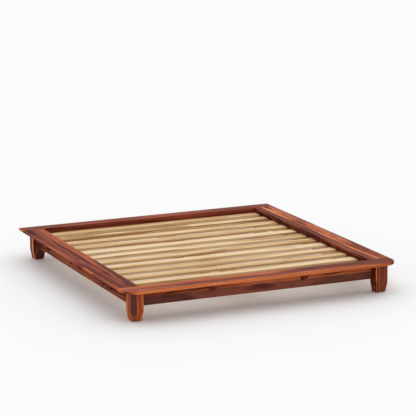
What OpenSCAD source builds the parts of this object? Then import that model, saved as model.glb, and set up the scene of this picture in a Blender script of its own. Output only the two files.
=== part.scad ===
// Low platform bed frame in solid wood: wide overhanging ledge, tapered legs, slatted deck.
// X runs across the bed, Y from the foot end (-Y) to the head end (+Y), Z up from the floor.

/* [Overall] */
// Width over the ledge
bed_w = 2190; // [1700:5:2700]
// Length over the ledge
bed_l = 2290; // [1850:5:2800]
// Height from the floor to the ledge top
bed_h = 235; // [190:1:320]

/* [Ledge] */
// Width of the ledge boards; the foot one is wider where its rail's dowels need it
ledge_w = 167; // [136:1:210]
// Width of the head ledge board
head_ledge_w = 111; // [90:1:140]
// Thickness of the ledge boards
ledge_t = 18; // [15:0.5:30]
// Radius of the two rounded corners at the foot end, in plan
ledge_corner_r = 125; // [10:1:150]

/* [Legs] */
// Width of the square leg above its taper
leg_w = 97; // [78:1:125]
// Width of the leg at the floor
leg_foot_w = 74; // [50:1:78]
// Height where the taper starts
leg_taper_h = 75; // [20:1:90]
// Distance from the ledge edge in to the leg faces
leg_inset = 67; // [55:1:90]

/* [Rails] */
// Thickness of all four rails
rail_t = 22; // [18:0.5:30]
// Height of all four rails
rail_h = 126; // [104:1:155]
// Distance from a leg's outer face in to the side rail's outer face
side_rail_setback = 45; // [30:1:52]
// Depth that the foot rail is let into the back of the front legs
foot_rail_housing = 13; // [8:0.5:18]
// Distance from a back leg's outer face in to the head rail's outer face
head_rail_setback = 15; // [8:1:22]
// Length of the stub tenons on the side rails and the head rail
tenon_l = 20; // [12:1:24]
// Thickness of those tenons
tenon_t = 12; // [8:0.5:16]
// Wood left above and below those tenons
tenon_shoulder = 18; // [10:1:30]

/* [Corbels] */
// Thickness of a corbel
corbel_t = 30; // [18:1:40]
// Height of a corbel under the ledge
corbel_h = 71; // [58:1:86]
// Length of the lower lobe out from the rail
corbel_base_l = 58; // [48:1:70]
// Radius of the lower lobe
corbel_base_r = 40; // [30:1:48]
// Height of the outer lobe
corbel_nose_h = 24; // [20:1:29]
// Radius of the outer lobe
corbel_nose_r = 20; // [14:1:20]
// Thickness of the neck between the lobes
corbel_neck_t = 14; // [10:1:18]
// Distance that a side corbel's tip stays behind the ledge edge
corbel_edge_gap = 3; // [1:0.5:15]
// Distance between the two corbels on the foot rail
foot_corbel_pitch = 730; // [500:5:880]
// Distance between neighbouring corbels on a side rail
side_corbel_pitch = 665; // [500:5:800]

/* [Slatted deck] */
// Depth from the ledge top down to the slat tops
recess_depth = 38; // [32:1:46]
// Number of slats
slat_count = 12; // [8:1:14]
// Width of a slat
slat_w = 90; // [60:1:110]
// Thickness of a slat
slat_t = 20; // [16:1:24]
// Gap between a slat's end and the edge of the ledge above it
slat_end_gap = 2; // [1:0.5:6]
// Length of slat that rests on the side cleat
slat_bearing = 20; // [16:1:30]
// Gap before the first slat and after the last one
slat_row_gap = 12; // [4:1:30]
// Height of the side cleats
cleat_h = 30; // [25:1:36]
// Width of a corner block along the side rail
block_w = 45; // [38:1:54]
// Height of a corner block
block_h = 80; // [70:1:86]

/* [Centre support] */
// Width of the centre beam
beam_w = 45; // [38:1:60]
// Height of the centre beam
beam_h = 70; // [60:1:84]
// Width of a centre leg along the beam
centre_leg_w = 60; // [50:1:72]
// Thickness of the centre leg's cheek beside the beam
cheek_t = 30; // [24:1:36]
// Distance between neighbouring centre legs
centre_leg_pitch = 520; // [400:5:620]
// Thickness of the steel beam hangers and angle brackets
plate_t = 2.5; // [1.5:0.5:3]
// Height of the hangers and angle brackets
plate_h = 60; // [50:1:64]
// Length of a hanger's seat and of an angle bracket's leaf
leaf_l = 40; // [30:1:48]
// Width of a hanger's wing on the rail
wing_w = 23; // [18:1:30]

/* [Hardware] */
// Diameter of the leg bolts and centre leg bolts
bolt_d = 8; // [6:0.5:10]
// Length of a leg bolt under its head
leg_bolt_l = 100; // [90:1:110]
// Diameter and length of the threaded inserts in the legs
insert_d = 12; // [10.5:0.5:14]
insert_l = 20; // [12:1:24]
// Diameter of the bolt washers
washer_d = 18; // [16:0.5:20]
// Thickness of the bolt washers
washer_t = 1.6; // [1:0.1:2]
// Distance from the side rail to the leg bolts
leg_bolt_inset = 15; // [12:0.5:17]
// Diameter of the large wood screws in the blocks and cleats
rail_screw_d = 5; // [4:0.5:6]
// Depth that a large wood screw goes into the rail
rail_screw_hold = 15; // [10:1:16]
// Diameter and length of the corbel screws
corbel_screw_d = 4.5; // [3.5:0.5:5]
corbel_screw_l = 50; // [36:1:60]
// Diameter of the small wood screws in the ledge, slats and steel plates
small_screw_d = 4; // [3:0.5:4.5]
// Length of the ledge screws, slat screws and plate screws
ledge_screw_l = 25; // [20:1:26]
slat_screw_l = 35; // [28:1:42]
plate_screw_l = 16; // [10:1:17]
// Diameter and length of the glued dowels
dowel_d = 8; // [6:0.5:10]
dowel_l = 40; // [30:1:46]
// Depth of a dowel in the underside of the ledge
dowel_up = 12; // [8:0.5:13]
// Distance from a board's edge to the dowels in its end
board_dowel_inset = 42; // [30:1:50]
// Distance from the leg's faces to the dowels in its top
leg_dowel_inset = 25; // [18:1:30]
// Least wood between the foot rail's dowels and the foot ledge board's inner edge
foot_dowel_edge = 1; // [1:0.5:5]
// Diameter of the felt glides
glide_d = 50; // [36:1:56]
// Thickness of the felt glides
glide_t = 2; // [1:0.5:4]

/* [Fits] */
// Play between a tenon and its mortise, on each side
tenon_gap = 0.25; // [0.1:0.05:0.6]
// Play round bolts, dowels, inserts and screws, on the radius
bore_gap = 0.1; // [0.05:0.05:0.3]
// Play at the ends of the foot rail, cleats and beam
end_gap = 1; // [0.5:0.5:3]

/* [Hidden] */
$fn = 32;
eps = 1;

// Distances in from the ledge's outer edge
leg_in = leg_inset + leg_w;
side_out = leg_inset + side_rail_setback;
side_in = side_out + rail_t;
foot_out = leg_in - foot_rail_housing;
foot_in = foot_out + rail_t;
foot_ledge_w = max(ledge_w, foot_out + rail_t / 2 + dowel_d / 2 + foot_dowel_edge);
head_out = leg_inset + head_rail_setback;
head_in = head_out + rail_t;

// Heights
ledge_z = bed_h - ledge_t;
rail_z = ledge_z - rail_h;
slat_top = bed_h - recess_depth;
slat_z = slat_top - slat_t;
cleat_z = slat_z - cleat_h;
block_z = slat_z - block_h;
beam_z = slat_z - beam_h;
leg_bolt_zs = [block_z + 13, block_z + 39];
block_screw_zs = [block_z + 26, block_z + 52];
corbel_screw_zs = [ledge_z - 12, ledge_z - 30];
centre_bolt_zs = [beam_z + 18, beam_z + 43];
plate_screw_zs = [14, plate_h - 14];

// Positions along the bed
foot_y = -bed_l / 2;
head_y = bed_l / 2;
left_x = -bed_w / 2;
slat_y0 = foot_y + foot_in + slat_row_gap;
slat_y1 = head_y - max(head_ledge_w, head_in) - slat_row_gap;
slat_pitch = (slat_y1 - slat_y0 - slat_w) / (slat_count - 1);
slat_x = left_x + max(ledge_w, leg_in) + slat_end_gap;
slat_screw_xs = [slat_x + slat_bearing / 2, 0, -slat_x - slat_bearing / 2];
cleat_w = slat_x - left_x + slat_bearing - side_in;
cleat_y0 = foot_y + foot_in + block_w + end_gap;
cleat_y1 = head_y - leg_in - block_w - end_gap;
cleat_screw_seat = min(cleat_w, block_w);
block_l = max(cleat_w, block_w);
block_mid_ys = [foot_y + foot_in + block_w / 2, head_y - leg_in - block_w / 2];
corbel_l = side_out - corbel_edge_gap;
neck_mid = (corbel_base_l + corbel_l - 2 * corbel_nose_r) / 2;
side_corbel_ys = [-side_corbel_pitch, 0, side_corbel_pitch];
foot_corbel_xs = [-foot_corbel_pitch / 2, foot_corbel_pitch / 2];
centre_leg_ys = [-centre_leg_pitch, 0, centre_leg_pitch];
rail_dowels = 4;

WOOD = "#7d432f";
WOOD_DARK = "#5b2f24";
WOOD_LIGHT = "#a85f35";
PINE = "#c9a676";
STEEL = "#a9adb0";

// A box given by its lowest and highest corners
module box(low, high) {
    translate(low) cube(high - low);
}

// Mirrors a piece made for the left side when it belongs on the right
module on_side(right) {
    mirror([right ? 1 : 0, 0, 0]) children();
}

module on_both_sides() {
    for (right = [false, true]) on_side(right) children();
}

// ---- Hardware shapes: the same module makes a fastener and, with play, its hole ----

// A countersunk screw along -Z, with its head's face at z = 0
module screw(d, l, play = 0) {
    head_r = d;
    translate([0, 0, -l - play]) cylinder(r = d / 2 + play, h = l + play);
    translate([0, 0, -d / 2]) cylinder(r1 = d / 2 + play, r2 = head_r + play, h = d / 2);
    if (play > 0) cylinder(r = head_r + play, h = eps);
}

// A pan-head screw along -Z, with the underside of its head at z = 0
module pan_screw(d, l, play = 0) {
    translate([0, 0, -l - play]) cylinder(r = d / 2 + play, h = l + play + eps / 2);
    if (play == 0) cylinder(r = d, h = d / 2);
}

// A socket-head bolt along -Z, with the underside of its head at z = 0
module socket_bolt(d, l) {
    head_h = 0.6 * d;
    translate([0, 0, -l]) cylinder(r = d / 2, h = l + eps / 2);
    difference() {
        cylinder(r = 0.875 * d, h = head_h);
        translate([0, 0, head_h / 2]) cylinder(r = d / 3, h = head_h, $fn = 6);
    }
}

// ---- Where the fasteners go ----

// Leg bolts: from a corner block's inner face, through what lies before it, into the leg
module at_front_leg_bolts() {
    for (z = leg_bolt_zs)
        translate([left_x + side_in + leg_bolt_inset, foot_y + foot_in + block_w, z])
            rotate([-90, 0, 0]) children();
}

module at_back_leg_bolts() {
    for (z = leg_bolt_zs)
        translate([left_x + side_in + leg_bolt_inset, head_y - leg_in - block_w, z])
            rotate([90, 0, 0]) children();
}

module leg_bolt_bore() {
    translate([0, 0, -leg_bolt_l - eps])
        cylinder(r = bolt_d / 2 + bore_gap, h = leg_bolt_l + 2 * eps);
}

// Threaded inserts: flush with the leg face that the bolt enters
module at_front_inserts() {
    at_front_leg_bolts() translate([0, 0, -block_w - rail_t - insert_l]) children();
}

module at_back_inserts() {
    at_back_leg_bolts() translate([0, 0, -block_w - insert_l]) children();
}

module insert_pocket() {
    cylinder(r = insert_d / 2 + bore_gap, h = insert_l + eps);
}

// Block screws sit in counterbores where the block is long
module at_block_screws() {
    for (y = block_mid_ys, z = block_screw_zs)
        translate([left_x + side_in + block_w, y, z]) rotate([0, 90, 0]) children();
}

// Cleat screws sit in every second gap between slats, in counterbores where the cleat is wide
module at_cleat_screws() {
    for (i = [0 : 2 : slat_count - 2])
        translate([left_x + side_in + cleat_screw_seat, slat_mid(i) + slat_pitch / 2,
                   cleat_z + cleat_h / 2])
            rotate([0, 90, 0]) children();
}

module at_side_corbel_screws() {
    for (y = side_corbel_ys, z = corbel_screw_zs)
        translate([left_x + side_in, y, z]) rotate([0, 90, 0]) children();
}

module at_foot_corbel_screws() {
    for (x = foot_corbel_xs, z = corbel_screw_zs)
        translate([x, foot_y + foot_in, z]) rotate([-90, 0, 0]) children();
}

// Ledge screws go up through a corbel's neck
module at_side_ledge_screws() {
    for (y = side_corbel_ys)
        translate([left_x + side_out - neck_mid, y, ledge_z - corbel_neck_t])
            rotate([180, 0, 0]) children();
}

module at_foot_ledge_screws() {
    for (x = foot_corbel_xs)
        translate([x, foot_y + foot_out - neck_mid, ledge_z - corbel_neck_t])
            rotate([180, 0, 0]) children();
}

function slat_mid(i) = slat_y0 + slat_w / 2 + i * slat_pitch;

// The last slat rests on the back corner blocks, and its screws are moved to meet them
last_screw_y = max(block_mid_ys[1], slat_y1 - slat_w + 10);

function slat_screw_y(i) = i < slat_count - 1 ? slat_mid(i) : last_screw_y;

module at_slat_screws(i) {
    for (x = slat_screw_xs) translate([x, slat_screw_y(i), slat_top]) children();
}

module at_hanger(head) {
    y = head ? head_y - head_in : foot_y + foot_in;
    translate([0, y, beam_z]) mirror([0, head ? 1 : 0, 0]) children();
}

// Screws in a hanger's wings, which go into the rail
module at_wing_screws() {
    for (side = [-1, 1], z = plate_screw_zs)
        translate([side * (beam_w / 2 + plate_t + wing_w / 2), plate_t, z])
            rotate([-90, 0, 0]) children();
}

// Screws in a hanger's cheeks, which go into the beam
module at_cheek_screws() {
    for (right = [0, 1])
        mirror([right, 0, 0])
            translate([beam_w / 2 + plate_t, leaf_l * 0.6, plate_h / 2])
                rotate([0, 90, 0]) children();
}

module at_angle() {
    translate([left_x + leg_in, head_y - head_in, beam_z]) children();
}

// Screws in the angle bracket's leaf on the head rail
module at_angle_rail_screws() {
    for (z = plate_screw_zs)
        translate([leaf_l * 0.6, -plate_t, z]) rotate([90, 0, 0]) children();
}

// Screws in the angle bracket's leaf on the leg
module at_angle_leg_screws() {
    for (z = plate_screw_zs)
        translate([plate_t, -leaf_l * 0.6, z]) rotate([0, 90, 0]) children();
}

module at_centre_bolts() {
    for (y = centre_leg_ys, z = centre_bolt_zs)
        translate([-beam_w / 2, y, z]) rotate([0, 90, 0]) children();
}

module centre_bolt_bores() {
    at_centre_bolts() translate([0, 0, -eps])
        cylinder(r = bolt_d / 2 + bore_gap, h = beam_w + cheek_t + 2 * eps);
}

// ---- Dowels: upright ones under the ledge, and level ones between the ledge boards ----

function along(length, i) = -length / 2 + length * (i + 0.5) / rail_dowels;

module at_side_upright_dowels() {
    rail_l = bed_l - 2 * leg_in;
    near = leg_inset + leg_dowel_inset;
    far = leg_in - leg_dowel_inset;
    for (i = [0 : rail_dowels - 1])
        translate([left_x + (side_out + side_in) / 2, along(rail_l, i), ledge_z]) children();
    for (y = [foot_y + near, foot_y + far, head_y - near, head_y - far])
        translate([left_x + near, y, ledge_z]) children();
}

module at_end_upright_dowels() {
    rail_l = bed_w - 2 * leg_in;
    for (i = [0 : rail_dowels - 1], y = [foot_y + (foot_out + foot_in) / 2,
                                         head_y - (head_out + head_in) / 2])
        translate([along(rail_l, i), y, ledge_z]) children();
}

module at_level_dowels() {
    for (s = [board_dowel_inset, ledge_w - board_dowel_inset],
         y = [foot_y + foot_ledge_w, head_y - head_ledge_w])
        translate([left_x + s, y, ledge_z + ledge_t / 2]) rotate([90, 0, 0]) children();
}

module upright_dowel(play = 0) {
    translate([0, 0, dowel_up - dowel_l - play])
        cylinder(r = dowel_d / 2 + (play > 0 ? bore_gap : 0), h = dowel_l + 2 * play);
}

module level_dowel(play = 0) {
    translate([0, 0, -dowel_l / 2 - play])
        cylinder(r = dowel_d / 2 + (play > 0 ? bore_gap : 0), h = dowel_l + 2 * play);
}

module dowel_bores() {
    on_both_sides() {
        at_side_upright_dowels() upright_dowel(eps);
        at_level_dowels() level_dowel(eps);
    }
    at_end_upright_dowels() upright_dowel(eps);
}

// ---- Legs ----

module leg_outline() {
    inset = (leg_w - leg_foot_w) / 2;
    polygon([
        [inset, glide_t], [leg_w - inset, glide_t], [leg_w, leg_taper_h],
        [leg_w, ledge_z], [0, ledge_z], [0, leg_taper_h]
    ]);
}

// A square post, straight at the top and tapered on all four sides below
module leg_blank() {
    intersection() {
        translate([0, leg_w, 0]) rotate([90, 0, 0]) linear_extrude(leg_w) leg_outline();
        rotate([90, 0, 90]) linear_extrude(leg_w) leg_outline();
    }
}

// The tenons of the left side rail and of the head rail, with play when they cut a mortise
module side_tenons(play = 0) {
    x = left_x + side_out + (rail_t - tenon_t) / 2;
    reach = tenon_l + 2 * play;
    box([x - play, foot_y + leg_in - reach, rail_z + tenon_shoulder - play],
        [x + tenon_t + play, head_y - leg_in + reach, ledge_z - tenon_shoulder + play]);
}

module head_tenons(play = 0) {
    x = left_x + leg_in - tenon_l - 2 * play;
    y = head_y - head_in + (rail_t - tenon_t) / 2;
    box([x, y - play, rail_z + tenon_shoulder - play],
        [-x, y + tenon_t + play, ledge_z - tenon_shoulder + play]);
}

module foot_rail_blank(play = 0) {
    x = left_x + side_in + end_gap - play;
    box([x, foot_y + foot_out, rail_z], [-x, foot_y + foot_in, ledge_z + play]);
}

module leg_front(right) {
    color(WOOD) on_side(right) difference() {
        translate([left_x + leg_inset, foot_y + leg_inset, 0]) leg_blank();
        side_tenons(tenon_gap);
        foot_rail_blank(end_gap);
        at_front_leg_bolts() leg_bolt_bore();
        at_front_inserts() insert_pocket();
        at_side_upright_dowels() upright_dowel(eps);
    }
}

module leg_back(right) {
    color(WOOD) on_side(right) difference() {
        translate([left_x + leg_inset, head_y - leg_in, 0]) leg_blank();
        side_tenons(tenon_gap);
        head_tenons(tenon_gap);
        at_back_leg_bolts() leg_bolt_bore();
        at_back_inserts() insert_pocket();
        at_side_upright_dowels() upright_dowel(eps);
        at_angle() at_angle_leg_screws() pan_screw(small_screw_d, plate_screw_l, bore_gap);
    }
}

// ---- Rails ----

module rail_side(right) {
    color(WOOD_DARK) on_side(right) difference() {
        union() {
            box([left_x + side_out, foot_y + leg_in, rail_z],
                [left_x + side_in, head_y - leg_in, ledge_z]);
            side_tenons();
        }
        at_side_upright_dowels() upright_dowel(eps);
        at_side_corbel_screws() screw(corbel_screw_d, corbel_screw_l, bore_gap);
        at_block_screws() screw(rail_screw_d, block_w + rail_screw_hold, bore_gap);
        at_cleat_screws() screw(rail_screw_d, cleat_screw_seat + rail_screw_hold, bore_gap);
    }
}

module rail_foot() {
    color(WOOD_DARK) difference() {
        foot_rail_blank();
        on_both_sides() at_front_leg_bolts() leg_bolt_bore();
        at_end_upright_dowels() upright_dowel(eps);
        at_foot_corbel_screws() screw(corbel_screw_d, corbel_screw_l, bore_gap);
        at_hanger(false) at_wing_screws() pan_screw(small_screw_d, plate_screw_l, bore_gap);
    }
}

module rail_head() {
    color(WOOD_DARK) difference() {
        union() {
            box([left_x + leg_in, head_y - head_in, rail_z],
                [-left_x - leg_in, head_y - head_out, ledge_z]);
            head_tenons();
        }
        at_end_upright_dowels() upright_dowel(eps);
        at_hanger(true) at_wing_screws() pan_screw(small_screw_d, plate_screw_l, bore_gap);
        on_both_sides() at_angle() at_angle_rail_screws()
            pan_screw(small_screw_d, plate_screw_l, bore_gap);
    }
}

// ---- Ledge boards ----

// The foot board's plan, with its two outer corners rounded
module ledge_foot_plan() {
    r = ledge_corner_r;
    translate([left_x, foot_y + r]) square([bed_w, foot_ledge_w - r]);
    translate([left_x + r, foot_y]) square([bed_w - 2 * r, foot_ledge_w]);
    intersection() {
        for (x = [left_x + r, -left_x - r]) translate([x, foot_y + r]) circle(r = r, $fn = 96);
        translate([left_x, foot_y]) square([bed_w, foot_ledge_w]);
    }
}

module ledge_foot() {
    color(WOOD) difference() {
        translate([0, 0, ledge_z]) linear_extrude(ledge_t) ledge_foot_plan();
        dowel_bores();
        at_foot_ledge_screws() screw(small_screw_d, ledge_screw_l, bore_gap);
    }
}

module ledge_head() {
    color(WOOD) difference() {
        box([left_x, head_y - head_ledge_w, ledge_z], [-left_x, head_y, bed_h]);
        dowel_bores();
    }
}

module ledge_side(right) {
    color(WOOD) on_side(right) difference() {
        box([left_x, foot_y + foot_ledge_w, ledge_z],
            [left_x + ledge_w, head_y - head_ledge_w, bed_h]);
        dowel_bores();
        at_side_ledge_screws() screw(small_screw_d, ledge_screw_l, bore_gap);
    }
}

// ---- Corbels ----

// Side view, out along X from the rail and down along -Y from the ledge:
// a round lower lobe, a neck and a smaller outer lobe
module corbel_outline() {
    intersection() {
        translate([0, -corbel_h]) square([corbel_l, corbel_h]);
        union() {
            translate([0, -corbel_neck_t]) square([corbel_l - corbel_nose_r, corbel_neck_t]);
            translate([0, -corbel_h]) square([corbel_base_l - corbel_base_r, corbel_h]);
            translate([0, corbel_base_r - corbel_h])
                square([corbel_base_l, corbel_h - corbel_base_r]);
            translate([corbel_base_l - corbel_base_r, corbel_base_r - corbel_h])
                circle(r = corbel_base_r, $fn = 64);
            translate([corbel_l - corbel_nose_r, corbel_nose_r - corbel_nose_h])
                circle(r = corbel_nose_r, $fn = 48);
        }
    }
}

module corbel_blank() {
    rotate([90, 0, 0]) linear_extrude(corbel_t, center = true) corbel_outline();
}

module corbel_side(i, right) {
    color(WOOD_DARK) on_side(right) difference() {
        translate([left_x + side_out, side_corbel_ys[i], ledge_z])
            mirror([1, 0, 0]) corbel_blank();
        at_side_corbel_screws() screw(corbel_screw_d, corbel_screw_l, bore_gap);
        at_side_ledge_screws() screw(small_screw_d, ledge_screw_l, bore_gap);
    }
}

module corbel_foot(i) {
    color(WOOD_DARK) difference() {
        translate([foot_corbel_xs[i], foot_y + foot_out, ledge_z])
            rotate([0, 0, -90]) corbel_blank();
        at_foot_corbel_screws() screw(corbel_screw_d, corbel_screw_l, bore_gap);
        at_foot_ledge_screws() screw(small_screw_d, ledge_screw_l, bore_gap);
    }
}

// ---- Corner blocks and cleats ----

module block_screw_bores() {
    at_block_screws() {
        screw(rail_screw_d, block_w + rail_screw_hold, bore_gap);
        if (block_l > block_w)
            cylinder(r = rail_screw_d + bore_gap, h = block_l - block_w + eps);
    }
}

module block_front(right) {
    color(PINE) on_side(right) difference() {
        box([left_x + side_in, foot_y + foot_in, block_z],
            [left_x + side_in + block_l, foot_y + foot_in + block_w, slat_z]);
        at_front_leg_bolts() leg_bolt_bore();
        block_screw_bores();
        at_slat_screws(0) screw(small_screw_d, slat_screw_l, bore_gap);
    }
}

module block_back(right) {
    color(PINE) on_side(right) difference() {
        box([left_x + side_in, head_y - leg_in - block_w, block_z],
            [left_x + side_in + block_l, head_y - leg_in, slat_z]);
        at_back_leg_bolts() leg_bolt_bore();
        block_screw_bores();
        at_slat_screws(slat_count - 1) screw(small_screw_d, slat_screw_l, bore_gap);
    }
}

module cleat(right) {
    counterbore = cleat_w - cleat_screw_seat;
    color(PINE) on_side(right) difference() {
        box([left_x + side_in, cleat_y0, cleat_z],
            [left_x + side_in + cleat_w, cleat_y1, slat_z]);
        at_cleat_screws() {
            screw(rail_screw_d, cleat_screw_seat + rail_screw_hold, bore_gap);
            if (counterbore > 0)
                cylinder(r = rail_screw_d + bore_gap, h = counterbore + eps);
        }
        for (i = [0 : slat_count - 1])
            at_slat_screws(i) screw(small_screw_d, slat_screw_l, bore_gap);
    }
}

// ---- Centre beam and its supports ----

module centre_beam() {
    color(PINE) difference() {
        box([-beam_w / 2, foot_y + foot_in + end_gap, beam_z],
            [beam_w / 2, head_y - head_in - end_gap, slat_z]);
        for (i = [0 : slat_count - 1])
            at_slat_screws(i) screw(small_screw_d, slat_screw_l, bore_gap);
        centre_bolt_bores();
        for (head = [false, true]) at_hanger(head) at_cheek_screws()
            pan_screw(small_screw_d, plate_screw_l, bore_gap);
    }
}

// A steel stirrup: two wings on the rail, two cheeks beside the beam, and a seat under it
module beam_hanger(head) {
    inner = beam_w / 2;
    outer = inner + plate_t;
    color(STEEL) at_hanger(head) difference() {
        union() {
            box([-outer, 0, -plate_t], [outer, leaf_l, 0]);
            for (side = [0, 1]) mirror([side, 0, 0]) {
                box([inner, 0, -plate_t], [outer, leaf_l, plate_h]);
                box([outer, 0, -plate_t], [outer + wing_w, plate_t, plate_h]);
            }
        }
        at_wing_screws() pan_screw(small_screw_d, plate_screw_l, bore_gap);
        at_cheek_screws() pan_screw(small_screw_d, plate_screw_l, bore_gap);
    }
}

// A post with a shoulder that carries the beam and a cheek that is bolted to its side
module centre_leg(i) {
    y = centre_leg_ys[i];
    color(PINE) difference() {
        box([-beam_w / 2, y - centre_leg_w / 2, glide_t],
            [beam_w / 2 + cheek_t, y + centre_leg_w / 2, slat_z]);
        box([-beam_w / 2 - eps, y - centre_leg_w, beam_z],
            [beam_w / 2, y + centre_leg_w, slat_z + eps]);
        centre_bolt_bores();
    }
}

module angle_bracket(right) {
    color(STEEL) on_side(right) at_angle() difference() {
        union() {
            box([0, -leaf_l, 0], [plate_t, 0, plate_h]);
            box([0, -plate_t, 0], [leaf_l, 0, plate_h]);
        }
        at_angle_rail_screws() pan_screw(small_screw_d, plate_screw_l, bore_gap);
        at_angle_leg_screws() pan_screw(small_screw_d, plate_screw_l, bore_gap);
    }
}

// ---- Slats ----

module slat(i) {
    color(PINE) difference() {
        box([slat_x, slat_mid(i) - slat_w / 2, slat_z],
            [-slat_x, slat_mid(i) + slat_w / 2, slat_top]);
        at_slat_screws(i) screw(small_screw_d, slat_screw_l, bore_gap);
    }
}

// ---- Fasteners and glides, each kind a group of separate solids ----

module leg_bolts() {
    color(STEEL) on_both_sides() {
        at_front_leg_bolts() translate([0, 0, washer_t]) socket_bolt(bolt_d, leg_bolt_l);
        at_back_leg_bolts() translate([0, 0, washer_t]) socket_bolt(bolt_d, leg_bolt_l);
    }
}

module washer() {
    difference() {
        cylinder(r = washer_d / 2, h = washer_t);
        translate([0, 0, -eps]) cylinder(r = bolt_d / 2 + bore_gap, h = washer_t + 2 * eps);
    }
}

module leg_bolt_washers() {
    color(STEEL) on_both_sides() {
        at_front_leg_bolts() washer();
        at_back_leg_bolts() washer();
    }
}

module insert() {
    difference() {
        cylinder(r = insert_d / 2, h = insert_l);
        translate([0, 0, -eps]) cylinder(r = bolt_d / 2 + bore_gap, h = insert_l + 2 * eps);
    }
}

module leg_inserts() {
    color(STEEL) on_both_sides() {
        at_front_inserts() insert();
        at_back_inserts() insert();
    }
}

module centre_leg_bolts() {
    head_h = bolt_d / 2;
    nut_room = 1.5 * bolt_d;
    color(STEEL) at_centre_bolts() {
        cylinder(r = bolt_d / 2, h = beam_w + cheek_t + nut_room);
        translate([0, 0, -head_h]) cylinder(r1 = 0.75 * bolt_d, r2 = 1.25 * bolt_d, h = head_h);
    }
}

module centre_leg_nuts() {
    color(STEEL) at_centre_bolts() translate([0, 0, beam_w + cheek_t]) difference() {
        union() {
            cylinder(r = 1.1 * bolt_d, h = 0.2 * bolt_d);
            cylinder(r = 0.94 * bolt_d, h = bolt_d, $fn = 6);
        }
        translate([0, 0, -eps]) cylinder(r = bolt_d / 2 + bore_gap, h = bolt_d + 2 * eps);
    }
}

module block_and_cleat_screws() {
    color(STEEL) on_both_sides() {
        at_block_screws() screw(rail_screw_d, block_w + rail_screw_hold);
        at_cleat_screws() screw(rail_screw_d, cleat_screw_seat + rail_screw_hold);
    }
}

module corbel_screws() {
    color(STEEL) {
        on_both_sides() at_side_corbel_screws() screw(corbel_screw_d, corbel_screw_l);
        at_foot_corbel_screws() screw(corbel_screw_d, corbel_screw_l);
    }
}

module ledge_screws() {
    color(STEEL) {
        on_both_sides() at_side_ledge_screws() screw(small_screw_d, ledge_screw_l);
        at_foot_ledge_screws() screw(small_screw_d, ledge_screw_l);
    }
}

module slat_screws() {
    color(STEEL) for (i = [0 : slat_count - 1])
        at_slat_screws(i) screw(small_screw_d, slat_screw_l);
}

module plate_screws() {
    color(STEEL) {
        for (head = [false, true]) at_hanger(head) {
            at_wing_screws() pan_screw(small_screw_d, plate_screw_l);
            at_cheek_screws() pan_screw(small_screw_d, plate_screw_l);
        }
        on_both_sides() at_angle() {
            at_angle_rail_screws() pan_screw(small_screw_d, plate_screw_l);
            at_angle_leg_screws() pan_screw(small_screw_d, plate_screw_l);
        }
    }
}

module dowels() {
    color(WOOD_LIGHT) {
        on_both_sides() {
            at_side_upright_dowels() upright_dowel();
            at_level_dowels() level_dowel();
        }
        at_end_upright_dowels() upright_dowel();
    }
}

module floor_glides() {
    mid = leg_inset + leg_w / 2;
    color("#3c3a38") {
        for (x = [left_x + mid, -left_x - mid], y = [foot_y + mid, head_y - mid])
            translate([x, y, 0]) cylinder(r = glide_d / 2, h = glide_t);
        for (y = centre_leg_ys)
            translate([cheek_t / 2, y, 0]) cylinder(r = glide_d / 2, h = glide_t);
    }
}

leg_front(false);  // leg_front_left
leg_front(true);  // leg_front_right
leg_back(false);  // leg_back_left
leg_back(true);  // leg_back_right
rail_foot();
rail_head();
rail_side(false);  // rail_left
rail_side(true);  // rail_right
ledge_foot();
ledge_head();
ledge_side(false);  // ledge_left
ledge_side(true);  // ledge_right
corbel_foot(0);  // corbel_foot_1
corbel_foot(1);  // corbel_foot_2
corbel_side(0, false);  // corbel_left_1
corbel_side(1, false);  // corbel_left_2
corbel_side(2, false);  // corbel_left_3
corbel_side(0, true);  // corbel_right_1
corbel_side(1, true);  // corbel_right_2
corbel_side(2, true);  // corbel_right_3
block_front(false);  // block_front_left
block_front(true);  // block_front_right
block_back(false);  // block_back_left
block_back(true);  // block_back_right
cleat(false);  // cleat_left
cleat(true);  // cleat_right
centre_beam();
beam_hanger(false);  // beam_hanger_foot
beam_hanger(true);  // beam_hanger_head
centre_leg(0);  // centre_leg_1
centre_leg(1);  // centre_leg_2
centre_leg(2);  // centre_leg_3
angle_bracket(false);  // angle_bracket_left
angle_bracket(true);  // angle_bracket_right
slat(0);  // slat_01
slat(1);  // slat_02
slat(2);  // slat_03
slat(3);  // slat_04
slat(4);  // slat_05
slat(5);  // slat_06
slat(6);  // slat_07
slat(7);  // slat_08
slat(8);  // slat_09
slat(9);  // slat_10
slat(10);  // slat_11
slat(11);  // slat_12
leg_bolts();
leg_bolt_washers();
leg_inserts();
centre_leg_bolts();
centre_leg_nuts();
block_and_cleat_screws();
corbel_screws();
ledge_screws();
slat_screws();
plate_screws();
dowels();
floor_glides();
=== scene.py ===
import math

import bmesh
import bpy
from mathutils import Matrix, Vector


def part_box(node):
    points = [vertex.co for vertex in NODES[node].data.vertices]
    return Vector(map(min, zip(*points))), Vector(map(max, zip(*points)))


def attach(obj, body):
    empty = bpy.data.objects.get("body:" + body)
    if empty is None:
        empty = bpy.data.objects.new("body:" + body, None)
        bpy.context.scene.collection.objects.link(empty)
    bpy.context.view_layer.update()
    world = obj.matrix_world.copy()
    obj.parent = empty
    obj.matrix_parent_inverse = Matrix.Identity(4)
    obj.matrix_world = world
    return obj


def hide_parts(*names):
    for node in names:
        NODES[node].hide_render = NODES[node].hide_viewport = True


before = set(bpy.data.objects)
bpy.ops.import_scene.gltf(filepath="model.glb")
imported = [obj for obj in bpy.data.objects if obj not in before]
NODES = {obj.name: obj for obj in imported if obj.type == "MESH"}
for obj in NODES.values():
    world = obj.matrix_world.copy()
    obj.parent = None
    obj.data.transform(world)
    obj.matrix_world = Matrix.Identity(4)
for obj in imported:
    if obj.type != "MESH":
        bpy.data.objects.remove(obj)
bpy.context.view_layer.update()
MM = 0.001

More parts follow.
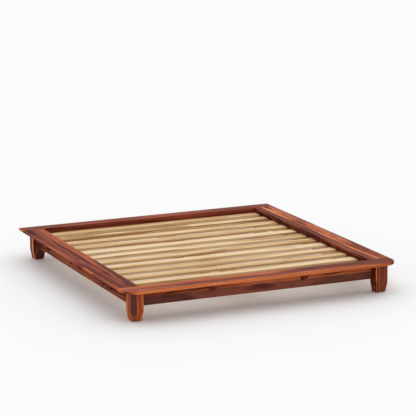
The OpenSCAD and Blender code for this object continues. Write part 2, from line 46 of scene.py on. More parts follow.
# Sizes that part.scad also names
LEDGE_CORNER_R = 125 * MM
LEG_W = 97 * MM
LEG_FOOT_W = 74 * MM
LEG_TAPER_H = 75 * MM
CORBEL_H = 71 * MM
CORBEL_BASE_L = 58 * MM
CORBEL_BASE_R = 40 * MM
CORBEL_NOSE_H = 24 * MM
CORBEL_NOSE_R = 20 * MM
CORBEL_NECK_T = 14 * MM
TENON_L = 20 * MM

# How far the edges of each kind of board are rounded
LEG_EDGE = 2.6 * MM
FOOT_LEDGE_EDGE = 2.4 * MM
LEDGE_EDGE = 2.2 * MM
RAIL_EDGE = 1.8 * MM
CORBEL_EDGE = 1.4 * MM
SLAT_EDGE = 2.5 * MM
# How much larger than a screw its seat is cut
SEAT_ROOM = 0.12 * MM
# How wide the painted highlight strip along an edge is
HIGHLIGHT_W = 3.2 * MM
SLAT_COUNT = 12

AXIS = {"X": Vector((1, 0, 0)), "Y": Vector((0, 1, 0)), "Z": Vector((0, 0, 1))}


# ---------------------------------------------------------------- shader graphs


class Graph:
    """A material's node tree, with short calls for the nodes used here."""

    def __init__(self, name):
        self.mat = bpy.data.materials.new(name)
        self.mat.use_nodes = True
        self.tree = self.mat.node_tree
        self.tree.nodes.clear()

    def put(self, socket, value):
        if isinstance(value, bpy.types.NodeSocket):
            self.tree.links.new(value, socket)
        else:
            socket.default_value = value

    def math(self, op, a, b=None, c=None, clamp=False):
        n = self.tree.nodes.new("ShaderNodeMath")
        n.operation, n.use_clamp = op, clamp
        for socket, value in zip(n.inputs, (a, b, c)):
            if value is not None:
                self.put(socket, value)
        return n.outputs[0]

    def vec(self, op, a, b=None, scale=None):
        n = self.tree.nodes.new("ShaderNodeVectorMath")
        n.operation = op
        self.put(n.inputs[0], a)
        if b is not None:
            self.put(n.inputs[1], b)
        if scale is not None:
            self.put(n.inputs["Scale"], scale)
        return n.outputs["Value"] if op in ("DOT_PRODUCT", "LENGTH") else n.outputs[0]

    def mix(self, fac, a, b, blend="MIX"):
        n = self.tree.nodes.new("ShaderNodeMix")
        n.data_type, n.blend_type = "RGBA", blend
        self.put(n.inputs[0], fac)
        self.put(n.inputs[6], a)
        self.put(n.inputs[7], b)
        return n.outputs[2]

    def noise(self, vector, scale=1.0, detail=2.0, rough=0.5, colour=False):
        n = self.tree.nodes.new("ShaderNodeTexNoise")
        self.put(n.inputs["Vector"], vector)
        self.put(n.inputs["Scale"], scale)
        self.put(n.inputs["Detail"], detail)
        self.put(n.inputs["Roughness"], rough)
        return n.outputs["Color" if colour else "Fac"]

    def noise_1d(self, w, detail=2.0, rough=0.5):
        n = self.tree.nodes.new("ShaderNodeTexNoise")
        n.noise_dimensions = "1D"
        self.put(n.inputs["W"], w)
        self.put(n.inputs["Scale"], 1.0)
        self.put(n.inputs["Detail"], detail)
        self.put(n.inputs["Roughness"], rough)
        return n.outputs["Fac"]

    def step(self, value, low, high, out_low=0.0, out_high=1.0):
        n = self.tree.nodes.new("ShaderNodeMapRange")
        n.interpolation_type = "SMOOTHSTEP"
        for socket, v in zip(n.inputs, (value, low, high, out_low, out_high)):
            self.put(socket, v)
        return n.outputs[0]

    def line(self, value, low, high, out_low=0.0, out_high=1.0):
        n = self.tree.nodes.new("ShaderNodeMapRange")
        for socket, v in zip(n.inputs, (value, low, high, out_low, out_high)):
            self.put(socket, v)
        return n.outputs[0]

    def ramp(self, fac, stops):
        n = self.tree.nodes.new("ShaderNodeValToRGB")
        e = n.color_ramp.elements
        while len(e) < len(stops):
            e.new(0.5)
        for el, (at, colour) in zip(e, stops):
            el.position, el.color = at, (*colour, 1.0)
        self.put(n.inputs[0], fac)
        return n.outputs[0]

    def position(self):
        return self.tree.nodes.new("ShaderNodeTexCoord").outputs["Object"]

    def normal(self):
        return self.tree.nodes.new("ShaderNodeNewGeometry").outputs["Normal"]

    def finish(self, colour, rough, height=None, bump=0.3, depth=0.4 * MM, **fixed):
        shader = self.tree.nodes.new("ShaderNodeBsdfPrincipled")
        out = self.tree.nodes.new("ShaderNodeOutputMaterial")
        self.put(shader.inputs["Base Color"], colour)
        self.put(shader.inputs["Roughness"], rough)
        for name, value in fixed.items():
            shader.inputs[name.replace("_", " ")].default_value = value
        if height is not None:
            n = self.tree.nodes.new("ShaderNodeBump")
            n.inputs["Strength"].default_value = bump
            n.inputs["Distance"].default_value = depth
            self.put(n.inputs["Height"], height)
            self.put(shader.inputs["Normal"], n.outputs[0])
        self.tree.links.new(shader.outputs[0], out.inputs[0])
        return self.mat


def linear(r, g, b):
    """A colour given as 0-255 screen values, as the shader wants it."""
    return tuple(
        (c / 255 / 12.92) if c <= 10 else ((c / 255 + 0.055) / 1.055) ** 2.4
        for c in (r, g, b)
    )


# Dyes that all wood shares, and the tint of the painted edge highlight
PORE_DYE = (0.01, 0.004, 0.003, 1.0)
END_DYE = (0.02, 0.008, 0.005, 1.0)
# painted highlight: the lighter tint laid along the edges where light catches them
HIGHLIGHT_TINT = (*linear(206, 122, 72), 1.0)

# How much each pattern adds to the tone; the broad bands give up what blotches take
BAND_SHARE, LINE_SHARE, DRIFT_SHARE, FIBRE_SHARE = 0.66, 0.13, 0.09, 0.12
# How many fine lines there are to each broad band
LINES_PER_BAND = 3.4

# Rosewood: dark heartwood through red-brown to the orange sapwood
HEART = [
    (0.24, linear(60, 24, 19)),
    (0.38, linear(98, 42, 31)),
    (0.50, linear(130, 60, 43)),
    (0.62, linear(152, 75, 51)),
    (0.78, linear(182, 98, 62)),
]
RED = [
    (0.24, linear(64, 20, 12)),
    (0.40, linear(92, 34, 21)),
    (0.55, linear(115, 45, 27)),
    (0.78, linear(146, 64, 36)),
]
UMBER = [
    (0.24, linear(96, 54, 46)),
    (0.45, linear(114, 66, 56)),
    (0.60, linear(126, 72, 60)),
    (0.78, linear(146, 84, 66)),
]
GLOW = [
    (0.24, linear(150, 70, 40)),
    (0.45, linear(182, 90, 48)),
    (0.60, linear(196, 100, 54)),
    (0.78, linear(218, 120, 68)),
]
SMOKE = [
    (0.24, linear(62, 40, 34)),
    (0.45, linear(80, 50, 42)),
    (0.60, linear(92, 56, 46)),
    (0.78, linear(112, 66, 50)),
]
HONEY = [
    (0.24, linear(186, 96, 50)),
    (0.45, linear(212, 116, 62)),
    (0.60, linear(224, 128, 72)),
    (0.78, linear(238, 150, 92)),
]
DARK = [
    (0.24, linear(36, 13, 12)),
    (0.40, linear(64, 27, 21)),
    (0.54, linear(92, 42, 32)),
    (0.74, linear(126, 60, 42)),
]
SAP = [
    (0.22, linear(128, 54, 24)),
    (0.40, linear(182, 88, 38)),
    (0.56, linear(212, 112, 52)),
    (0.76, linear(236, 144, 76)),
]
AMBER = [
    (0.24, linear(104, 46, 30)),
    (0.42, linear(150, 74, 46)),
    (0.58, linear(176, 90, 54)),
    (0.76, linear(208, 116, 70)),
]
PINE = [
    (0.28, linear(176, 128, 80)),
    (0.44, linear(206, 164, 112)),
    (0.58, linear(220, 184, 136)),
    (0.76, linear(232, 202, 160)),
]


class Streak:
    """A band of other wood: a slab across one direction, with a wavy border. The span is an
    axis, a start and a stop; it ends the band lengthwise. Every length is in millimetres."""

    def __init__(self, along, at, half, stops=SAP, soft=4, wave=10, amount=1.0, span=None,
                 fade=60):
        self.along = Vector(along).normalized()
        self.at, self.half, self.soft, self.wave = at * MM, half * MM, soft * MM, wave * MM
        self.stops, self.amount, self.span, self.fade = stops, amount, span, fade * MM


def wood(name, node, grain, seed, stops, pith, streaks=(), tilt=0.03, ring=95.0, gloss=0.46,
         blotch=0.22, pores=0.45, specular=0.03, end=0.62, highlight_level=0.35, taper=False):
    """Solid wood: rings round a pith line that runs along the grain, so that every face,
    edge and end of the piece shows the same log. Streaks are given in the row frame."""
    low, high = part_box(node)
    centre, half = (low + high) / 2, (high - low) / 2
    g = Graph(name)
    pos = g.position()
    rel = g.vec("SUBTRACT", pos, tuple(centre))
    along = g.vec("DOT_PRODUCT", rel, tuple(AXIS[grain]))
    shift = g.vec("ADD", rel, (seed * 3.1, seed * 1.7, seed * 2.3))

    def stretched(long, cross):
        scale = [cross, cross, cross]
        scale["XYZ".index(grain)] = long
        return g.vec("MULTIPLY", shift, tuple(scale))

    # the log: its rings waver, and its pith isn't quite parallel to the piece
    waver = g.vec("SUBTRACT", g.noise(stretched(1.3, 6.0), detail=2, colour=True), (0.5, 0.5, 0.5))
    warped = g.vec("ADD", rel, g.vec("SCALE", waver, scale=0.055))
    across = [a for a in "XYZ" if a != grain]
    parts = []
    for axis, offset, slope in zip(across, pith, (tilt, -0.6 * tilt)):
        c = g.vec("DOT_PRODUCT", warped, tuple(AXIS[axis]))
        c = g.math("SUBTRACT", c, offset * MM)
        parts.append(g.math("MULTIPLY_ADD", along, slope, c))
    radius = g.math("SQRT", g.math("ADD", g.math("POWER", parts[0], 2.0),
                                   g.math("POWER", parts[1], 2.0)))
    bands = g.noise_1d(g.math("MULTIPLY_ADD", radius, ring, seed * 7.3), detail=3, rough=0.62)
    lines = g.noise_1d(g.math("MULTIPLY_ADD", radius, ring * LINES_PER_BAND, seed * 5.1),
                       detail=2, rough=0.55)
    drift = g.noise(stretched(1.7, 9.0), detail=3, rough=0.55)
    fibre = g.noise(stretched(7.0, 520.0), detail=3, rough=0.6)
    vessel = g.noise(stretched(34.0, 1150.0), detail=1, rough=0.5)
    pore = g.step(vessel, 0.60, 0.68)

    tone = g.math("MULTIPLY", bands, BAND_SHARE - blotch / 2)
    tone = g.math("MULTIPLY_ADD", lines, LINE_SHARE, tone)
    tone = g.math("MULTIPLY_ADD", drift, DRIFT_SHARE + blotch / 2, tone)
    tone = g.math("MULTIPLY_ADD", fibre, FIBRE_SHARE, tone)
    tone = g.line(tone, 0.39, 0.61, 0.22, 0.80)
    colour = g.ramp(tone, stops)

    for i, s in enumerate(streaks):
        edge = g.noise(stretched(2.4 + 0.3 * i, 14.0 + 3 * i), detail=3, rough=0.6)
        sway = g.math("SUBTRACT", edge, 0.5)
        d = g.vec("DOT_PRODUCT", pos, tuple(s.along))
        d = g.math("ADD", d, g.math("MULTIPLY", sway, s.wave * 4))
        d = g.math("ABSOLUTE", g.math("SUBTRACT", d, s.at))
        band = g.step(d, s.half, s.half + s.soft, s.amount, 0.0)
        if s.span:
            axis, start, stop = s.span
            v = g.vec("DOT_PRODUCT", pos, tuple(AXIS[axis]))
            v = g.math("ADD", v, g.math("MULTIPLY", sway, s.fade * 4))
            starts = g.step(v, start * MM - s.fade, start * MM + s.fade)
            stops_at = g.step(v, stop * MM - s.fade, stop * MM + s.fade, 1.0, 0.0)
            band = g.math("MULTIPLY", g.math("MULTIPLY", band, starts), stops_at)
        colour = g.mix(band, colour, g.ramp(tone, s.stops))

    # pores and end grain
    colour = g.mix(g.math("MULTIPLY", pore, pores), colour, g.mix(0.75, colour, PORE_DYE))
    facing = g.math("ABSOLUTE", g.vec("DOT_PRODUCT", g.normal(), tuple(AXIS[grain])))
    is_end = g.step(facing, 0.6, 0.9)
    colour = g.mix(is_end, colour, g.mix(end, colour, END_DYE))

    # painted highlight along the edges: lighter where two of the three gaps to the faces are small
    gaps = []
    for axis, reach in zip("XYZ", half):
        c = g.math("ABSOLUTE", g.vec("DOT_PRODUCT", rel, tuple(AXIS[axis])))
        if taper and axis != grain:
            z = g.vec("DOT_PRODUCT", pos, tuple(AXIS["Z"]))
            reach = g.line(z, low.z, LEG_TAPER_H, LEG_FOOT_W / 2, LEG_W / 2)
        gaps.append(g.math("SUBTRACT", reach, c))
    least = g.math("MINIMUM", g.math("MINIMUM", gaps[0], gaps[1]), gaps[2])
    most = g.math("MAXIMUM", g.math("MAXIMUM", gaps[0], gaps[1]), gaps[2])
    total = g.math("ADD", g.math("ADD", gaps[0], gaps[1]), gaps[2])
    second = g.math("SUBTRACT", g.math("SUBTRACT", total, least), most)
    highlight_mask = g.math("MULTIPLY", g.step(second, 0.0, HIGHLIGHT_W, 1.0, 0.0),
                 g.step(g.noise(shift, scale=26.0, detail=2), 0.35, 0.65, 0.35, 1.0))
    highlight_amount = g.math("MULTIPLY", highlight_mask, highlight_level)
    colour = g.mix(highlight_amount, colour, g.mix(0.5, colour, HIGHLIGHT_TINT))

    # duller where dark, and a shallow relief of pores, fibres and lines
    rough = g.math("MULTIPLY_ADD", g.math("SUBTRACT", 0.5, tone), 0.18, gloss)
    rough = g.math("MULTIPLY_ADD", pore, 0.10, rough)
    rough = g.math("MULTIPLY_ADD", g.noise(shift, scale=9.0, detail=3), 0.10, rough, clamp=True)
    height = g.math("MULTIPLY_ADD", pore, -0.9, g.math("MULTIPLY", fibre, 0.55))
    height = g.math("MULTIPLY_ADD", lines, 0.5, height)
    return g.finish(colour, rough, height, bump=0.32, depth=0.3 * MM,
                    Specular_IOR_Level=specular)


def steel(name):
    g = Graph(name)
    pos = g.position()
    spangle = g.noise(pos, scale=160.0, detail=3, rough=0.6)
    scratch = g.noise(g.vec("MULTIPLY", pos, (900.0, 60.0, 900.0)), detail=2)
    colour = g.ramp(g.math("MULTIPLY_ADD", scratch, 0.4, g.math("MULTIPLY", spangle, 0.6)),
                    [(0.3, (0.42, 0.43, 0.44)), (0.5, (0.58, 0.59, 0.60)),
                     (0.7, (0.70, 0.70, 0.69))])
    rough = g.line(spangle, 0.3, 0.7, 0.26, 0.44)
    return g.finish(colour, rough, scratch, bump=0.15, depth=0.08 * MM, Metallic=1.0)


def felt(name):
    g = Graph(name)
    pos = g.position()
    tuft = g.noise(pos, scale=1400.0, detail=3, rough=0.7)
    patch = g.noise(pos, scale=60.0, detail=2)
    colour = g.ramp(g.math("MULTIPLY_ADD", tuft, 0.7, g.math("MULTIPLY", patch, 0.3)),
                    [(0.3, (0.020, 0.019, 0.018)), (0.55, (0.055, 0.052, 0.048)),
                     (0.75, (0.11, 0.10, 0.095))])
    return g.finish(colour, 0.95, tuft, bump=0.8, depth=0.6 * MM, Sheen_Weight=0.3)


# ---------------------------------------------------------------- shapes


def new_piece(name, bm, node, material):
    bmesh.ops.recalc_face_normals(bm, faces=bm.faces)
    mesh = bpy.data.meshes.new(name)
    bm.to_mesh(mesh)
    bm.free()
    obj = bpy.data.objects.new(name, mesh)
    bpy.context.scene.collection.objects.link(obj)
    mesh.materials.append(material)
    mesh.shade_smooth()
    mesh.set_sharp_from_angle(angle=math.radians(50))
    weighted = obj.modifiers.new("weighted_normals", "WEIGHTED_NORMAL")
    weighted.keep_sharp = True
    weighted.weight = 100
    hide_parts(node)
    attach(obj, "root")
    return obj


def round_edges(bm, width, segments=3, angle=25):
    """Rounds every edge that turns by more than the angle."""
    bmesh.ops.recalc_face_normals(bm, faces=bm.faces)
    bm.normal_update()
    edges = [e for e in bm.edges
             if len(e.link_faces) == 2 and e.calc_face_angle(0) > math.radians(angle)]
    bmesh.ops.bevel(bm, geom=edges, offset=width, segments=segments, profile=0.5,
                    affect="EDGES", clamp_overlap=True)


def box_mesh(low, high):
    bm = bmesh.new()
    bmesh.ops.create_cube(bm, size=1.0)
    size, mid = high - low, (high + low) / 2
    bm.transform(Matrix.Translation(mid) @ Matrix.Diagonal((*size, 1.0)))
    return bm


def prism(points, thickness_axis, at, thickness):
    """A closed outline in the row frame, drawn out along an axis to both sides of it."""
    bm = bmesh.new()
    step = thickness_axis * thickness
    first = [bm.verts.new(p + thickness_axis * at - step / 2) for p in points]
    second = [bm.verts.new(p + thickness_axis * at + step / 2) for p in points]
    bm.faces.new(first)
    bm.faces.new(second)
    for i in range(len(points)):
        j = (i + 1) % len(points)
        bm.faces.new((first[i], first[j], second[j], second[i]))
    return bm


def arc(cx, cy, r, start, stop, steps):
    return [(cx + r * math.cos(a), cy + r * math.sin(a))
            for a in (math.radians(start + (stop - start) * i / steps) for i in range(steps + 1))]


def cutter_from(node):
    """A copy of a fastener node, a hair larger, to cut its seats into a new piece."""
    source = NODES[node]
    bm = bmesh.new()
    bm.from_mesh(source.data)
    bmesh.ops.remove_doubles(bm, verts=bm.verts, dist=1e-6)
    bm.normal_update()
    for v in bm.verts:
        v.co += v.normal * SEAT_ROOM
    mesh = bpy.data.meshes.new("cutter")
    bm.to_mesh(mesh)
    bm.free()
    obj = bpy.data.objects.new("cutter", mesh)
    bpy.context.scene.collection.objects.link(obj)
    return obj


def cut(bm, *cutters):
    """The mesh with each cutter taken away."""
    mesh = bpy.data.meshes.new("uncut")
    bm.to_mesh(mesh)
    bm.free()
    obj = bpy.data.objects.new("uncut", mesh)
    bpy.context.scene.collection.objects.link(obj)
    for c in cutters:
        m = obj.modifiers.new("cut", "BOOLEAN")
        m.operation, m.solver, m.object = "DIFFERENCE", "EXACT", c
    view = bpy.context.evaluated_depsgraph_get()
    made = bpy.data.meshes.new_from_object(obj.evaluated_get(view))
    bm = bmesh.new()
    bm.from_mesh(made)
    bpy.data.objects.remove(obj)
    bpy.data.meshes.remove(made)
    return bm


CORBEL_CUTTER = cutter_from("corbel_screws")
LEDGE_CUTTER = cutter_from("ledge_screws")
SLAT_CUTTER = cutter_from("slat_screws")


def board(node, material, width, low=None, high=None, cutters=()):
    """A straight board with rounded edges, in the box of its CAD node."""
    a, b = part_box(node)
    bm = box_mesh(low or a, high or b)
    round_edges(bm, width)
    if cutters:
        bm = cut(bm, *cutters)
    return new_piece(node + "_board", bm, node, material)


def leg(node, material):
    low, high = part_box(node)
    mid = (low + high) / 2
    bm = bmesh.new()
    rings = []
    for z, w in ((low.z, LEG_FOOT_W), (LEG_TAPER_H, LEG_W), (high.z, LEG_W)):
        rings.append([bm.verts.new((mid.x + sx * w / 2, mid.y + sy * w / 2, z))
                      for sx, sy in ((-1, -1), (1, -1), (1, 1), (-1, 1))])
    bm.faces.new(rings[0])
    bm.faces.new(rings[-1])
    for lower, upper in zip(rings, rings[1:]):
        for i in range(4):
            j = (i + 1) % 4
            bm.faces.new((lower[i], lower[j], upper[j], upper[i]))
    round_edges(bm, LEG_EDGE, segments=4)
    return new_piece(node + "_post", bm, node, material)


def ledge_foot(material):
    low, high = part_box("ledge_foot")
    r = LEDGE_CORNER_R
    outline = arc(low.x + r, low.y + r, r, 180, 270, 28)
    outline += arc(high.x - r, low.y + r, r, 270, 360, 28)
    outline += [(high.x, high.y), (low.x, high.y)]
    points = [Vector((x, y, 0)) for x, y in outline]
    bm = prism(points, AXIS["Z"], (low.z + high.z) / 2, high.z - low.z)
    round_edges(bm, FOOT_LEDGE_EDGE, segments=4)
    bm = cut(bm, LEDGE_CUTTER)
    return new_piece("ledge_foot_board", bm, "ledge_foot", material)


def corbel(node, out, material):
    """Round lower lobe, neck and smaller outer lobe, drawn from the rail face outwards."""
    low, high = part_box(node)
    mid = (low + high) / 2
    length = (high - low).dot(Vector([abs(c) for c in out]))
    side = AXIS["Z"].cross(out)
    top = high.z
    root = Vector((mid.x, mid.y, 0)) - out * length / 2
    nose_x, nose_d = length - CORBEL_NOSE_R, CORBEL_NOSE_H - CORBEL_NOSE_R
    base_x, base_d = CORBEL_BASE_L - CORBEL_BASE_R, CORBEL_H - CORBEL_BASE_R
    first = -math.degrees(math.asin(nose_d / CORBEL_NOSE_R))
    last = 180 - math.degrees(math.asin((CORBEL_NECK_T - nose_d) / CORBEL_NOSE_R))
    shape = [(0, 0)]
    shape += arc(nose_x, nose_d, CORBEL_NOSE_R, first, last, 26)
    shape += [(CORBEL_BASE_L, CORBEL_NECK_T)]
    shape += arc(base_x, base_d, CORBEL_BASE_R, 0, 90, 20)
    shape += [(0, CORBEL_H)]
    points = [root + out * p + Vector((0, 0, top - d)) for p, d in shape]
    width = (high - low).dot(Vector([abs(c) for c in side]))
    bm = prism(points, side, 0.0, width)
    bmesh.ops.recalc_face_normals(bm, faces=bm.faces)
    bm.normal_update()
    rims = [e for e in bm.edges if len(e.link_faces) == 2
            and e.calc_face_angle(0) > math.radians(60)
            and any(abs(f.normal.dot(side)) > 0.9 for f in e.link_faces)]
    bmesh.ops.bevel(bm, geom=rims, offset=CORBEL_EDGE, segments=3, profile=0.5,
                    affect="EDGES", clamp_overlap=True)
    bm = cut(bm, LEDGE_CUTTER)
    return new_piece(node + "_block", bm, node, material)


# ---------------------------------------------------------------- the bed's pieces

X, Y, Z = AXIS["X"], AXIS["Y"], AXIS["Z"]

ledge_foot(wood(
    "rosewood_ledge_foot", "ledge_foot", "X", 1.6, HEART, (-50, -110), tilt=0.02, ring=60,
    streaks=[
        Streak(Y, -1060, 95, RED, wave=4, soft=8, amount=0.8, span=("X", 60, 1300), fade=200),
        Streak(Y, -1022, 36, AMBER, wave=10, soft=12, amount=0.9, span=("X", -1300, 180), fade=180),
        Streak(Y, -992, 15, GLOW, wave=8, soft=9, amount=0.95, span=("X", -1000, 200), fade=120),
        Streak(Y, -1066, 8, DARK, wave=9, soft=9, amount=0.85, span=("X", -1050, 900), fade=90),
        Streak(Y, -1040, 13, DARK, wave=9, soft=10, amount=0.7, span=("X", 120, 1020), fade=120),
        Streak(Y, -1090, 4, DARK, wave=9, soft=7, amount=0.7, span=("X", -800, 300), fade=120),
        Streak(Y, -1108, 6, GLOW, wave=12, soft=8, amount=0.85, span=("X", -400, 800), fade=90),
        Streak(Y, -1141, 9, GLOW, wave=5, soft=7, amount=0.9),
        Streak(Y, -1144, 4, HONEY, wave=6, soft=4, amount=0.6, span=("X", -1200, 500), fade=160),
        Streak(X, -1092, 7, GLOW, wave=3, soft=6, amount=0.95),
    ], end=0.08))
board("ledge_head", wood(
    "rosewood_ledge_head", "ledge_head", "X", 2.0, HEART, (40, -70), tilt=0.015, ring=60,
    streaks=[Streak(X, -1097, 5, wave=2, soft=5, amount=0.95)], end=0.05), LEDGE_EDGE)
board("ledge_left", wood(
    "rosewood_ledge_left", "ledge_left", "Y", 3.0, RED, (-30, -80), tilt=0.02, ring=62,
    streaks=[
        Streak(X, -954, 31, DARK, wave=6, soft=8, amount=0.75, span=("Y", -1100, -150), fade=110),
        Streak(X, -950, 33, AMBER, wave=9, soft=9, amount=0.9, span=("Y", -150, 1200), fade=110),
        Streak(X, -966, 9, GLOW, wave=8, soft=7, amount=0.95, span=("Y", -200, 1200), fade=110),
        Streak(X, -940, 5, GLOW, wave=8, soft=6, amount=0.9, span=("Y", -60, 1200), fade=110),
        Streak(X, -958, 3, DARK, wave=12, soft=8, amount=0.8, span=("Y", -150, 1200)),
        Streak(X, -980, 4, GLOW, wave=6, soft=6, amount=0.9, span=("Y", -760, -100)),
        Streak(X, -1093, 7, AMBER, wave=3, soft=6, amount=0.55),
        Streak(X, -1094, 9, wave=4, soft=6, amount=0.9, span=("Y", -480, -280), fade=30),
    ]), LEDGE_EDGE, cutters=[LEDGE_CUTTER])
board("ledge_right", wood(
    "rosewood_ledge_right", "ledge_right", "Y", 4.0, HEART, (30, -80), tilt=0.02, ring=62,
    streaks=[
        Streak(X, 952, 23, DARK, wave=5, soft=10, amount=0.6),
        Streak(X, 994, 6, wave=7, soft=7, amount=0.95),
        Streak(X, 1060, 16, AMBER, wave=12, soft=16, amount=0.6),
        Streak(X, 1040, 50, GLOW, wave=8, soft=16, amount=0.5, span=("Y", -1100, -560), fade=140),
    ]), LEDGE_EDGE, cutters=[LEDGE_CUTTER])

board("rail_foot", wood(
    "rosewood_rail_foot", "rail_foot", "X", 5.0, HEART, (90, -30), tilt=0.012, ring=60,
    streaks=[
        Streak(Z, 190, 42, AMBER, wave=3, soft=5, amount=0.95),
        Streak(Z, 118, 29, UMBER, wave=3, soft=5, amount=0.95),
        Streak(Z, 118, 29, SMOKE, wave=3, soft=5, amount=0.6, span=("X", 480, 1100), fade=160),
        Streak(Z, 89, 4, RED, wave=3, soft=6, amount=0.7),
    ]), RAIL_EDGE, cutters=[CORBEL_CUTTER])
low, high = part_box("rail_head")
board("rail_head", wood(
    "rosewood_rail_head", "rail_head", "X", 6.0, HEART, (-80, -40), tilt=0.012, ring=60,
    streaks=[Streak(Z, 120, 20, DARK, wave=9, soft=8, amount=0.7)]),
    RAIL_EDGE, low + X * TENON_L, high - X * TENON_L)
for side, sign, seed in (("left", -1, 7.0), ("right", 1, 8.0)):
    node = "rail_" + side
    low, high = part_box(node)
    board(node, wood(
        "rosewood_" + node, node, "Y", seed, HEART, (sign * 90, 20), tilt=0.012, ring=60,
        streaks=[
            Streak(Z, 150, 16, DARK, wave=8, soft=12, amount=0.4),
            Streak(Z, 90, 5, AMBER, wave=3, soft=6, amount=0.6),
        ]),
        RAIL_EDGE, low + Y * TENON_L, high - Y * TENON_L, cutters=[CORBEL_CUTTER])

leg("leg_front_left", wood(
    "rosewood_leg_front_left", "leg_front_left", "Z", 9.0, HEART, (60, 60), ring=70, taper=True,
    streaks=[
        Streak(X, -1030, 40, AMBER, wave=2, soft=6, amount=0.45),
        Streak(X, -935, 48, GLOW, wave=2, soft=4, amount=0.95),
        Streak(Y, -1000, 19, HONEY, wave=3, soft=6, amount=0.9),
        Streak(Z, 20, 22, GLOW, wave=6, soft=16, amount=0.8, span=("X", -1200, -1018), fade=4),
        Streak(X, -1008, 22, SMOKE, wave=2, soft=4, amount=0.9, span=("Y", -1200, -1073), fade=3),
    ]))
leg("leg_front_right", wood(
    "rosewood_leg_front_right", "leg_front_right", "Z", 10.0, HEART, (50, -50), ring=70, taper=True,
    streaks=[
        # painted shade: the leg's side face towards the bed, in shade under the foot ledge, gets
        # the darkest wood
        Streak(X, 925, 9, DARK, wave=2, soft=4, amount=1.0),
        Streak(Y, -992, 9, AMBER, wave=3, soft=6, amount=0.8),
        Streak(X - Y, 1421, 5, wave=2, soft=3, amount=0.95, span=("Z", 85, 400), fade=20),
    ]))
leg("leg_back_left", wood(
    "rosewood_leg_back_left", "leg_back_left", "Z", 11.0, HEART, (60, 60), ring=70, taper=True,
    streaks=[
        Streak(Y, 976, 15, SMOKE, wave=1, soft=3, amount=0.75),
        Streak(Y, 1010, 14, HONEY, wave=2, soft=5, amount=0.95),
    ]))
leg("leg_back_right", wood(
    "rosewood_leg_back_right", "leg_back_right", "Z", 12.0, HEART, (-60, 40), ring=70, taper=True,
    streaks=[Streak(X, 1020, 14, wave=4, soft=6, amount=0.7)]))

CORBELS = [("corbel_foot_1", -Y), ("corbel_foot_2", -Y)]
CORBELS += [(f"corbel_left_{i}", -X) for i in (1, 2, 3)]
CORBELS += [(f"corbel_right_{i}", X) for i in (1, 2, 3)]
for i, (node, out) in enumerate(CORBELS):
    # painted shade: the corbels under the side ledges take the darkest wood, standing in for the
    # deep shade they sit in; the foot corbels keep the usual wood
    stops = HEART if node.startswith("corbel_foot") else DARK
    grain = "Y" if out.y else "X"
    corbel(node, out, wood("rosewood_" + node, node, grain, 13.0 + i, stops, (40, -60), ring=80,
                           end=0.35))

# What sets bare softwood apart from lacquered rosewood
BARE = {"ring": 34, "blotch": 0.16, "pores": 0.12, "specular": 0.25, "end": 0.25, "highlight_level": 0.0}

for i in range(SLAT_COUNT):
    node = f"slat_{i + 1:02d}"
    pith = ((i * 37) % 80 - 40, -45 - (i * 23) % 50)
    board(node, wood(
        "pine_" + node, node, "X", 30.0 + 1.37 * i, PINE, pith, tilt=0.008, gloss=0.58, **BARE),
        SLAT_EDGE, cutters=[SLAT_CUTTER])

PLAIN = [("centre_beam", "Y"), ("cleat_left", "Y"), ("cleat_right", "Y")]
PLAIN += [(f"block_{a}_{b}", "Z") for a in ("front", "back") for b in ("left", "right")]
PLAIN += [(f"centre_leg_{i}", "Z") for i in (1, 2, 3)]
PLAIN += [("dowels", "Z")]


def dress(node, material):
    mesh = NODES[node].data
    mesh.materials.clear()
    mesh.materials.append(material)


for i, (node, grain) in enumerate(PLAIN):
    dress(node, wood("pine_" + node, node, grain, 50.0 + i, PINE, (30, -50), gloss=0.6, **BARE))

STEEL = steel("zinc_steel")
for node in ("beam_hanger_foot", "beam_hanger_head", "angle_bracket_left", "angle_bracket_right",
             "leg_bolts", "leg_bolt_washers", "leg_inserts", "centre_leg_bolts",
             "centre_leg_nuts", "block_and_cleat_screws", "corbel_screws", "ledge_screws",
             "slat_screws", "plate_screws"):
    dress(node, STEEL)
dress("floor_glides", felt("grey_felt"))

for c in (CORBEL_CUTTER, LEDGE_CUTTER, SLAT_CUTTER):
    bpy.data.objects.remove(c)


# ---------------------------------------------------------------- studio


def floor():
    bm = bmesh.new()
    bmesh.ops.create_grid(bm, x_segments=1, y_segments=1, size=FLOOR_REACH)
    mesh = bpy.data.meshes.new("floor")
    bm.to_mesh(mesh)
    bm.free()
    obj = bpy.data.objects.new("floor", mesh)
    bpy.context.scene.collection.objects.link(obj)
    g = Graph("pale_floor")
    mesh.materials.append(g.finish((0.92, 0.92, 0.922, 1.0), 0.7, Specular_IOR_Level=0.1))


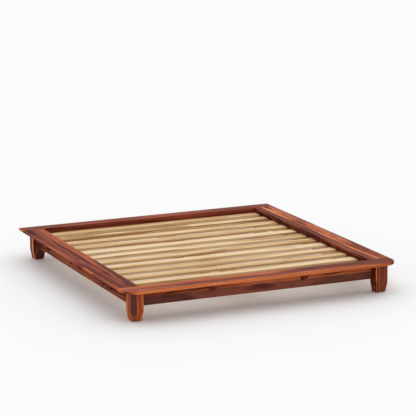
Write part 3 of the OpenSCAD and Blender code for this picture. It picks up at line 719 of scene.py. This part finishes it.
def soft_sun():
    """A very wide, even light from above, leaning a little to the back and the right."""
    data = bpy.data.lights.new("overhead", "SUN")
    data.angle, data.energy = math.radians(SUN_WIDTH), SUN_STRENGTH
    obj = bpy.data.objects.new("overhead", data)
    obj.rotation_euler = Vector(SUN_TOWARDS).to_track_quat("Z", "Y").to_euler()
    bpy.context.scene.collection.objects.link(obj)


def sky():
    """An even white sky, seen a little brighter than it lights, so no horizon shows."""
    world = bpy.data.worlds.new("studio")
    bpy.context.scene.world = world
    world.use_nodes = True
    nodes, links = world.node_tree.nodes, world.node_tree.links
    background = nodes["Background"]
    background.inputs["Color"].default_value = (1.0, 1.0, 1.0, 1.0)
    path = nodes.new("ShaderNodeLightPath")
    strength = nodes.new("ShaderNodeMapRange")
    strength.inputs["To Min"].default_value = SKY_LIGHT
    strength.inputs["To Max"].default_value = SKY_SEEN
    links.new(path.outputs["Is Camera Ray"], strength.inputs["Value"])
    links.new(strength.outputs["Result"], background.inputs["Strength"])


FLOOR_REACH = 60.0
SKY_LIGHT, SKY_SEEN = 0.66, 0.93
SUN_TOWARDS, SUN_WIDTH, SUN_STRENGTH = (0.30, 0.36, 1.0), 110.0, 1.35
floor()
sky()
soft_sun()

bpy.context.scene.view_settings.view_transform = "Standard"

# The camera: where it looks, how far off it stands, its turn, tip and roll, and its lens
LOOK_AT = Vector((0.7319, 1.5447, 0.15))
DISTANCE = 17.9287
TURN, TIP, ROLL = math.radians(23.9153), math.radians(12.2879), math.radians(-0.2592)
LENS, SENSOR = 182.785, 36.0
ahead = Vector((math.sin(TURN) * math.cos(TIP), math.cos(TURN) * math.cos(TIP), -math.sin(TIP)))
level = Vector((math.cos(TURN), -math.sin(TURN), 0.0))
upright = level.cross(ahead)
right = level * math.cos(ROLL) + upright * math.sin(ROLL)
up = upright * math.cos(ROLL) - level * math.sin(ROLL)
camera = bpy.data.objects.new("camera", bpy.data.cameras.new("camera"))
camera.data.sensor_width = SENSOR
camera.data.lens = LENS
camera.data.clip_end = 200.0
turned = Matrix((right, up, -ahead)).transposed().to_4x4()
camera.matrix_world = Matrix.Translation(LOOK_AT - ahead * DISTANCE) @ turned
bpy.context.scene.collection.objects.link(camera)
bpy.context.scene.camera = camera
